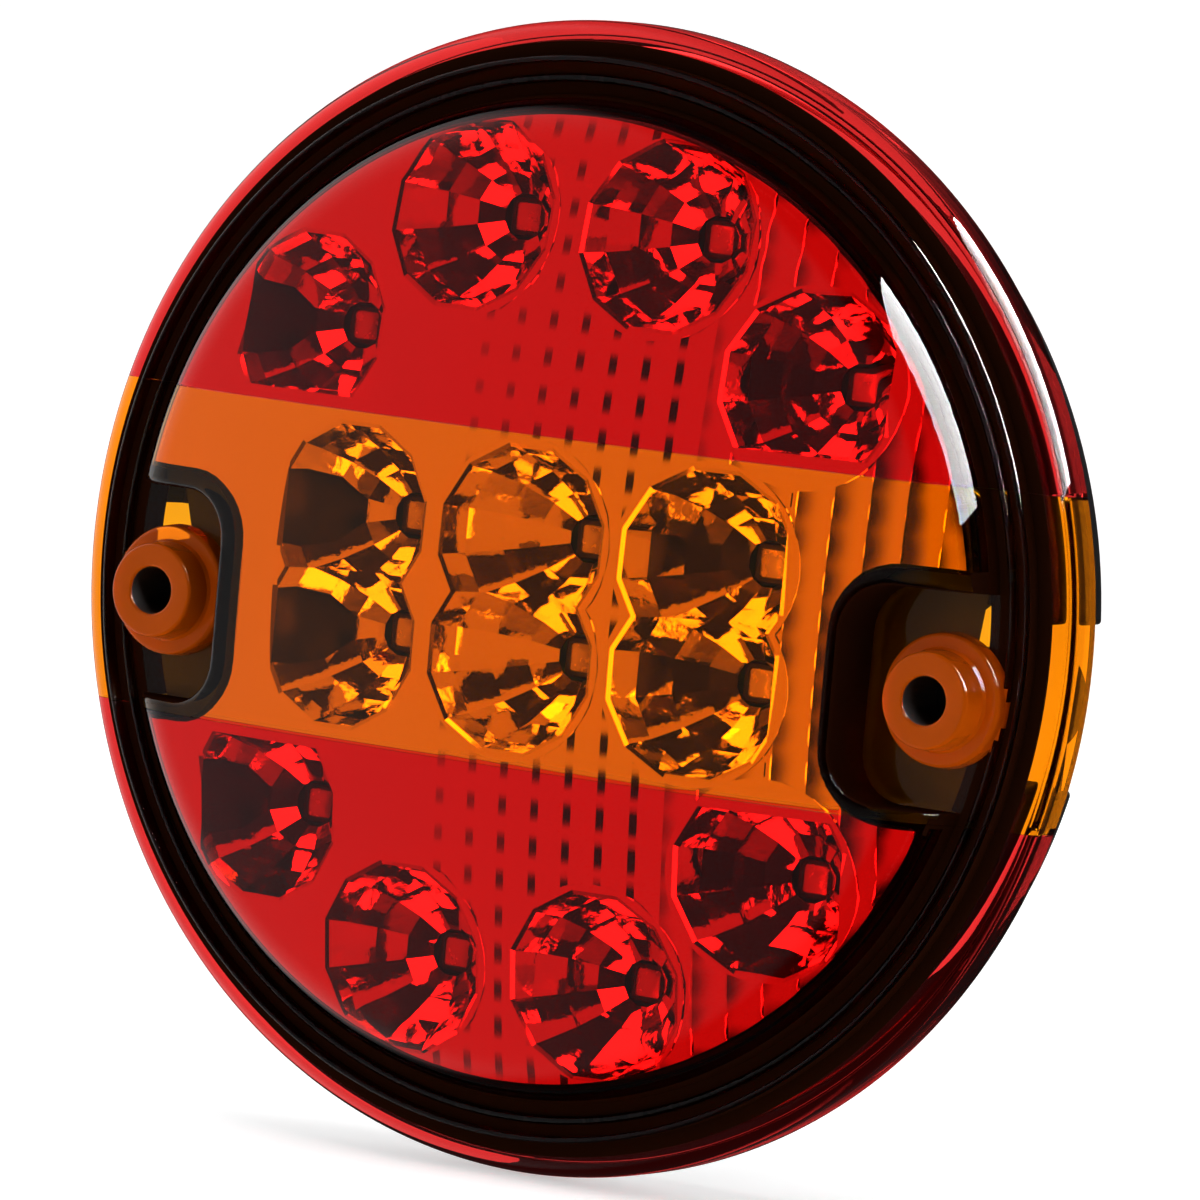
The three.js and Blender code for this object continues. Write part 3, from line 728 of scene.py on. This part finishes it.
def add_screw_pillar(housing, side):
    """Opens the housing round one fixing screw and stands the screw's pillar in the opening."""
    radius, round_off = PILLAR["radius"], PILLAR["round"]
    web, reach = SLOT["web"], 80
    cut(housing, side_notch(side))
    well = well_prism(side, -SLOT["inset"], FLANGE["floor"] - 2, LAMP_DEPTH + 2)
    slots = keep_inside(well, bar(SLOT["reach"], 0, BEYOND))
    cut(slots, block((-reach, 0, WELL_Z - web), (reach, BEYOND, WELL_Z + web)))
    cut(slots, bar(radius, 0, BEYOND, side * SCREW_X, WELL_Z))
    cut(housing, slots)
    profile = [(0, WALL_TOP)]
    profile += arc(radius - round_off, WALL_TOP + round_off, round_off, 0, 90, 4)
    profile += arc(radius - round_off, LAMP_DEPTH - round_off, round_off, 90, 180, 4)
    profile += [(0, LAMP_DEPTH)]
    join(housing, revolve("pillar", profile, 64, side * SCREW_X, WELL_Z))
    cut(housing, bar(PILLAR["bore"], 0, BEYOND, side * SCREW_X, WELL_Z))


def build_housing(materials):
    """The tray, the wall of its chamber, and what is opened or raised in them."""
    outer, outer_margin, inner, inner_margin = (CHAMBER[key] for key in RING_KEYS)
    housing = chamber_ring(outer, outer_margin, inner, inner_margin, WALL_TOP, FLANGE["back"] - 0.5)
    join(housing, housing_tray())
    cut(housing, chamber(PEDESTAL_RADIUS - PEDESTAL_WALL, inner_margin, WALL_TOP - 1, FLOOR_DEPTH))
    for side in (-1, 1):
        add_screw_pillar(housing, side)
    for name in BOARD_SCREWS:
        spot = centre(name)
        pilot_end = spot.y - CROWN + POST["pilot_depth"]
        join(housing, bar(POST["radius"], BOARD_BACK, FLOOR_DEPTH + 0.5, spot.x, spot.z, 32))
        cut(housing, bar(POST["pilot"], BOARD_BACK - 1, pilot_end, spot.x, spot.z, 24))
    outer, outer_margin, inner, inner_margin = (GROOVE[key] for key in RING_KEYS)
    groove = chamber_ring(outer, outer_margin, inner, inner_margin, WALL_TOP - 1, WALL_TOP + GROOVE["depth"])
    cut(housing, groove)
    cut(housing, bar(GROMMET["neck"] + 0.1, FLOOR_DEPTH - 1, BEYOND, CABLE.x, CABLE.z, 48))
    finish_piece(housing, "housing_shell", "base", [materials["black_plastic"]], ["housing"])


def build_seal(materials):
    """The soft bead in the groove of the chamber wall, which the lens presses on."""
    front = WALL_TOP - SEAL_PROUD
    outer, outer_margin, inner, inner_margin = (GROOVE[key] for key in RING_KEYS)
    seal = chamber_ring(outer - SEAL_PLAY, outer_margin + SEAL_PLAY, inner + SEAL_PLAY,
                        inner_margin - SEAL_PLAY, front, front + GROOVE["depth"])
    finish_piece(seal, "lens_seal_bead", "base", [materials["rubber"]], ["lens_seal"])


# ---- cable tail ----
def build_cable(materials):
    """The jacket, and four cores with bare strands at their ends."""
    radius = (CABLE_HIGH.x - CABLE_LOW.x) / 2
    front, end = CABLE_LOW.y - CROWN, CABLE_HIGH.y - CROWN
    jacket_end, bevel = end - STRAND["bare"], 0.3
    jacket = [(0, front), (radius, front), (radius, jacket_end - bevel), (radius - bevel, jacket_end),
              (0, jacket_end)]
    finish_piece(revolve("cable", jacket, 40, CABLE.x, CABLE.z), "cable_jacket", "base",
                 [materials["jacket"]], ["cable"])
    core_radius, core_end = STRAND["core"], end - STRAND["core_end"]
    wire_radius, wire_start = STRAND["wire"], core_end - 1
    cores = (("core_white", -1, -1), ("core_green", 1, -1), ("core_brown", -1, 1), ("core_red", 1, 1))
    for name, side, up in cores:
        x, z = CABLE.x + side * STRAND["offset"], CABLE.z + up * STRAND["offset"]
        core = [(0, jacket_end - 1), (core_radius, jacket_end - 1), (core_radius, core_end), (0, core_end)]
        finish_piece(revolve(name, core, 20, x, z), f"cable_{name}", "base", [materials[name]], [])
        wire = [(0, wire_start), (wire_radius, wire_start), (wire_radius, end - 0.1), (0, end)]
        finish_piece(revolve(name, wire, 12, x, z), f"cable_{name}_strand", "base", [materials["copper"]], [])


def build_grommet(materials):
    """The rubber sleeve that seals the cable in the housing's floor."""
    inner = (CABLE_HIGH.x - CABLE_LOW.x) / 2 + GROMMET["play"]
    collar, neck, bevel = GROMMET["collar"], GROMMET["neck"], GROMMET["round"]
    top = FLOOR_DEPTH - GROMMET["collar_height"]
    profile = [(inner, top), (collar - bevel, top), (collar, top + bevel), (collar, FLOOR_DEPTH),
               (neck, FLOOR_DEPTH), (neck, LAMP_DEPTH - 0.3), (neck - 0.3, LAMP_DEPTH), (inner, LAMP_DEPTH)]
    finish_piece(revolve("grommet", profile, 48, CABLE.x, CABLE.z), "cable_grommet_sleeve", "base",
                 [materials["rubber"]], ["cable_grommet"])


# ---- materials ----
def new_material(name, **inputs):
    """A material whose shader inputs are given by name, with _ for a space."""
    material = bpy.data.materials.new(name)
    material.use_nodes = True
    shader = material.node_tree.nodes["Principled BSDF"]
    for key, value in inputs.items():
        shader.inputs[key.replace("_", " ")].default_value = value
    return material


def grain(material, scale, bump, rough_low, rough_high):
    """Adds noise to a material's roughness and surface."""
    tree = material.node_tree
    nodes, links = tree.nodes, tree.links
    shader = nodes["Principled BSDF"]
    place = nodes.new("ShaderNodeTexCoord")
    noise = nodes.new("ShaderNodeTexNoise")
    noise.inputs["Scale"].default_value = scale
    noise.inputs["Detail"].default_value = 4
    links.new(place.outputs["Object"], noise.inputs["Vector"])
    spread = nodes.new("ShaderNodeMapRange")
    spread.inputs["To Min"].default_value = rough_low
    spread.inputs["To Max"].default_value = rough_high
    links.new(noise.outputs["Fac"], spread.inputs["Value"])
    links.new(spread.outputs["Result"], shader.inputs["Roughness"])
    relief = nodes.new("ShaderNodeBump")
    relief.inputs["Strength"].default_value = bump
    relief.inputs["Distance"].default_value = 0.0002
    links.new(noise.outputs["Fac"], relief.inputs["Height"])
    links.new(relief.outputs["Normal"], shader.inputs["Normal"])
    return material


def make_materials():
    """Every finish: its name, colour, scale and height of its grain, range of roughness, other inputs."""
    clear = {"Transmission_Weight": 1.0, "IOR": 1.45}
    lens = {**clear, "Specular_Tint": (0.15, 0.15, 0.15, 1)}
    rim = {**clear, "Specular_Tint": (0.03, 0.03, 0.03, 1)}
    boss = {**clear, "Transmission_Weight": 0.65, "Specular_Tint": (0.1, 0.1, 0.1, 1)}
    metal = {"Metallic": 1.0}
    finishes = (
        ("lens_red", (0.76, 0.045, 0.042), 60, 0.02, (0.0, 0.03), lens),
        ("lens_amber", (0.86, 0.33, 0.003), 60, 0.02, (0.0, 0.03), lens),
        ("rim_red", (0.64, 0.022, 0.022), 60, 0.02, (0.0, 0.03), rim),
        ("rim_amber", (0.84, 0.22, 0.002), 60, 0.02, (0.0, 0.03), rim),
        ("boss", (1, 0.15, 0.002), 200, 0.05, (0.01, 0.05), boss),
        # Painted shade: a dark, dull brown for the bores of the screw bosses, which only look dark because
        # they are deep.
        ("bore", (0.02, 0.006, 0.002), 300, 0.2, (0.3, 0.5), {}),
        # Painted shade: an opaque near-black without gloss for the clear lens's well walls and the floor
        # round the foot of its face, which only look dark.
        ("painted_shade_recess", (0.012, 0.003, 0.001), 120, 0.05, (0.3, 0.5), {"Specular_IOR_Level": 0.0}),
        # Painted shade: chrome darkened almost to black, for the dark reflection that the flat walls of the
        # cups show.
        ("painted_shade_chrome", (0.03, 0.03, 0.032), 300, 0.1, (0.1, 0.25), metal),
        ("chrome", (0.93, 0.93, 0.94), 90, 0.03, (0.02, 0.07), metal),
        ("facets", (0.93, 0.93, 0.94), 400, 0.15, (0.02, 0.06), metal),
        ("black_plastic", (0.012, 0.012, 0.013), 900, 0.25, (0.38, 0.55), {"Specular_IOR_Level": 0.3}),
        ("rubber", (0.02, 0.02, 0.021), 500, 0.3, (0.7, 0.9), {}),
        ("board", (0.02, 0.11, 0.04), 700, 0.2, (0.25, 0.4), {}),
        ("chip", (0.015, 0.015, 0.017), 1500, 0.3, (0.45, 0.6), {}),
        ("aluminium", (0.78, 0.79, 0.8), 400, 0.2, (0.2, 0.35), metal),
        ("steel", (0.62, 0.62, 0.6), 600, 0.2, (0.2, 0.4), metal),
        ("copper", (0.85, 0.45, 0.25), 900, 0.4, (0.2, 0.4), metal),
        ("jacket", (0.02, 0.02, 0.02), 500, 0.2, (0.35, 0.5), {}),
        ("led_silver", (0.92, 0.9, 0.8), 900, 0.2, (0.15, 0.35), {"Metallic": 0.7}),
        ("led_clear", (0.96, 0.96, 0.94), 300, 0.02, (0.0, 0.04), clear),
        ("core_white", (0.75, 0.75, 0.73), 600, 0.15, (0.35, 0.5), {}),
        ("core_green", (0.05, 0.3, 0.08), 600, 0.15, (0.35, 0.5), {}),
        ("core_brown", (0.2, 0.09, 0.04), 600, 0.15, (0.35, 0.5), {}),
        ("core_red", (0.6, 0.03, 0.03), 600, 0.15, (0.35, 0.5), {}),
    )
    made = {}
    for name, colour, scale, height, roughness, inputs in finishes:
        made[name] = grain(new_material(name, Base_Color=(*colour, 1), **inputs), scale, height, *roughness)
    return made


def dress_cad_nodes(materials):
    """Gives the CAD nodes that stay in view their procedural finish."""
    finishes = {"circuit_board": "board", "filter_capacitor": "aluminium", "wire_ground": "core_brown",
                "wire_tail": "core_white", "wire_stop": "core_red", "wire_indicator": "core_green"}
    chips = ("polarity_diode", "surge_suppressor", "driver_tail", "driver_stop", "driver_indicator")
    finishes.update({node: "chip" for node in chips})
    finishes.update({node: "steel" for node in BOARD_SCREWS})
    for node, name in finishes.items():
        slots = frame["nodes"][node].data.materials
        slots.clear()
        slots.append(materials[name])


# ---- studio ----
# Lengths in this part are metres and angles are degrees.
LIGHT_DISTANCE = 1.3
LOBE = {"azimuth": -60, "elevation": 2, "bright_within": 50, "dark_beyond": 68, "dark": 0.03, "bright": 1.0}
SWEEP = {"near": -3.0, "seam": 0.1, "bend": 1.2, "size": 0.9, "top": 4.0, "half_width": 4.0, "below": 0.0003}
CAMERA = {"azimuth": 31.73, "elevation": 3.95, "roll": 5.58, "distance": 1.2676, "lens": 317.8,
          "sensor": 36, "shift_x": 0.0799}


def direction(azimuth, elevation):
    """The way from the lamp to a place in the room. Azimuth 0 is straight in front, 90 is to the right."""
    a, e = math.radians(azimuth), math.radians(elevation)
    return Vector((math.sin(a) * math.cos(e), -math.cos(a) * math.cos(e), math.sin(e)))


def soft_box(name, azimuth, elevation, size, radiance, rays, only=()):
    """An area light that faces the lamp, for some kinds of ray, and for the given pieces or for all."""
    light = bpy.data.lights.new(name, "AREA")
    light.shape = "RECTANGLE"
    light.size, light.size_y = size
    light.energy = radiance * math.pi * size[0] * size[1]
    holder = bpy.data.objects.new(name, light)
    towards = direction(azimuth, elevation)
    holder.location = towards * LIGHT_DISTANCE
    holder.rotation_euler = towards.to_track_quat("Z", "Y").to_euler()
    holder.visible_camera = False
    holder.visible_diffuse = "diffuse" in rays
    holder.visible_glossy = "glossy" in rays
    holder.visible_transmission = "transmission" in rays
    bpy.context.scene.collection.objects.link(holder)
    if only:
        receivers = bpy.data.collections.new(name)
        for piece in only:
            receivers.objects.link(bpy.data.objects[piece])
        holder.light_linking.receiver_collection = receivers


def build_sweep():
    """A pale paper sweep: the floor round the lamp, and behind it more floor that curves up into a wall."""
    floor_z = CAD_BOX[0][2] - SWEEP["below"]
    near, seam, bend, size = (SWEEP[key] for key in ("near", "seam", "bend", "size"))
    steps, half_width = 24, SWEEP["half_width"]
    wall = [(seam, floor_z)]
    for i in range(steps + 1):
        angle = math.pi / 2 * i / steps
        wall.append((bend + size * math.sin(angle), floor_z + size * (1 - math.cos(angle))))
    wall.append((bend + size, SWEEP["top"]))
    paper = grain(new_material("paper", Base_Color=(0.86, 0.86, 0.86, 1), Emission_Color=(1, 1, 1, 1),
                               Emission_Strength=0.5), 40, 0.02, 0.7, 0.9)
    for name, profile in (("studio_floor", [(near, floor_z), (seam, floor_z)]), ("studio_wall", wall)):
        verts = [(side * half_width, y, z) for y, z in profile for side in (-1, 1)]
        faces = [[2 * i, 2 * i + 1, 2 * i + 3, 2 * i + 2] for i in range(len(profile) - 1)]
        mesh = bpy.data.meshes.new(name)
        mesh.from_pydata(verts, [], faces)
        mesh.shade_smooth()
        sheet = bpy.data.objects.new(name, mesh)
        sheet.data.materials.append(paper)
        sheet.visible_glossy = False
        sheet.visible_transmission = name == "studio_wall"
        bpy.context.scene.collection.objects.link(sheet)


def build_surround():
    """A white surround that is bright on one side only, which the mirror of the reflector shows."""
    world = bpy.data.worlds.new("studio")
    bpy.context.scene.world = world
    world.use_nodes = True
    nodes, links = world.node_tree.nodes, world.node_tree.links
    place = nodes.new("ShaderNodeTexCoord")
    toward = nodes.new("ShaderNodeVectorMath")
    toward.operation = "DOT_PRODUCT"
    toward.inputs[1].default_value = direction(LOBE["azimuth"], LOBE["elevation"])
    links.new(place.outputs["Generated"], toward.inputs[0])
    ramp = nodes.new("ShaderNodeMapRange")
    ramp.interpolation_type = "SMOOTHSTEP"
    ramp.inputs["From Min"].default_value = math.cos(math.radians(LOBE["dark_beyond"]))
    ramp.inputs["From Max"].default_value = math.cos(math.radians(LOBE["bright_within"]))
    ramp.inputs["To Min"].default_value = LOBE["dark"]
    ramp.inputs["To Max"].default_value = LOBE["bright"]
    links.new(toward.outputs["Value"], ramp.inputs["Value"])
    links.new(ramp.outputs["Result"], nodes["Background"].inputs["Color"])


def build_lights():
    """Soft boxes: azimuth, elevation, size, radiance, and the rays and pieces they are there for."""
    inside = ("transmission",)
    around = ("diffuse", "transmission")
    lens = [f"{node}_shell" for node in SECTIONS]
    soft_box("shoulder_softbox", 101, 43, (2.1, 1.0), 100, ("glossy",), lens)
    soft_box("sparkle_softbox", 30, 50, (0.32, 0.32), 10, inside)
    soft_box("edge_strip", 26, 0, (0.35, 1.8), 6, inside)
    soft_box("flute_strip", -61.5, 0, (0.2, 0.8), 6, inside)
    for azimuth, elevation in ((-12, 34), (52, 28), (8, -38)):
        soft_box("glint", azimuth, elevation, (0.14, 0.14), 7, inside)
    soft_box("side_softbox", 100, 15, (0.5, 1.2), 2, around)
    soft_box("top_softbox", -20, 80, (1.3, 0.9), 3, around)
    soft_box("rear_softbox", 205, 50, (1.2, 1.0), 3, ("diffuse", "glossy"), ["housing_shell", "cable_jacket"])


def build_camera():
    """A long lens that looks at the lamp from the right, rolled a little."""
    back = direction(CAMERA["azimuth"], CAMERA["elevation"])
    roll = math.radians(CAMERA["roll"])
    right = Vector((0, 0, 1)).cross(back).normalized()
    up = back.cross(right)
    rolled_right = math.cos(roll) * right + math.sin(roll) * up
    rolled_up = math.cos(roll) * up - math.sin(roll) * right
    camera = bpy.data.cameras.new("camera")
    camera.sensor_width = CAMERA["sensor"]
    camera.lens = CAMERA["lens"]
    camera.shift_x = CAMERA["shift_x"]
    camera.clip_end = 50
    holder = bpy.data.objects.new("camera", camera)
    crown = Vector((0, CROWN * METRES, 0))
    turn = Matrix((rolled_right, rolled_up, back)).transposed().to_4x4()
    holder.matrix_world = Matrix.Translation(crown + back * CAMERA["distance"]) @ turn
    bpy.context.scene.collection.objects.link(holder)
    bpy.context.scene.camera = holder


materials = make_materials()
build_lens(materials)
build_reflector(materials)
for led in RED_LEDS + AMBER_LEDS:
    build_led(led, materials)
build_housing(materials)
build_seal(materials)
build_cable(materials)
build_grommet(materials)
dress_cad_nodes(materials)
build_sweep()
build_surround()
build_lights()
build_camera()
scene = bpy.context.scene
scene.view_settings.view_transform = "Standard"
scene.cycles.max_bounces = 14
scene.cycles.transmission_bounces = 12
scene.cycles.glossy_bounces = 6
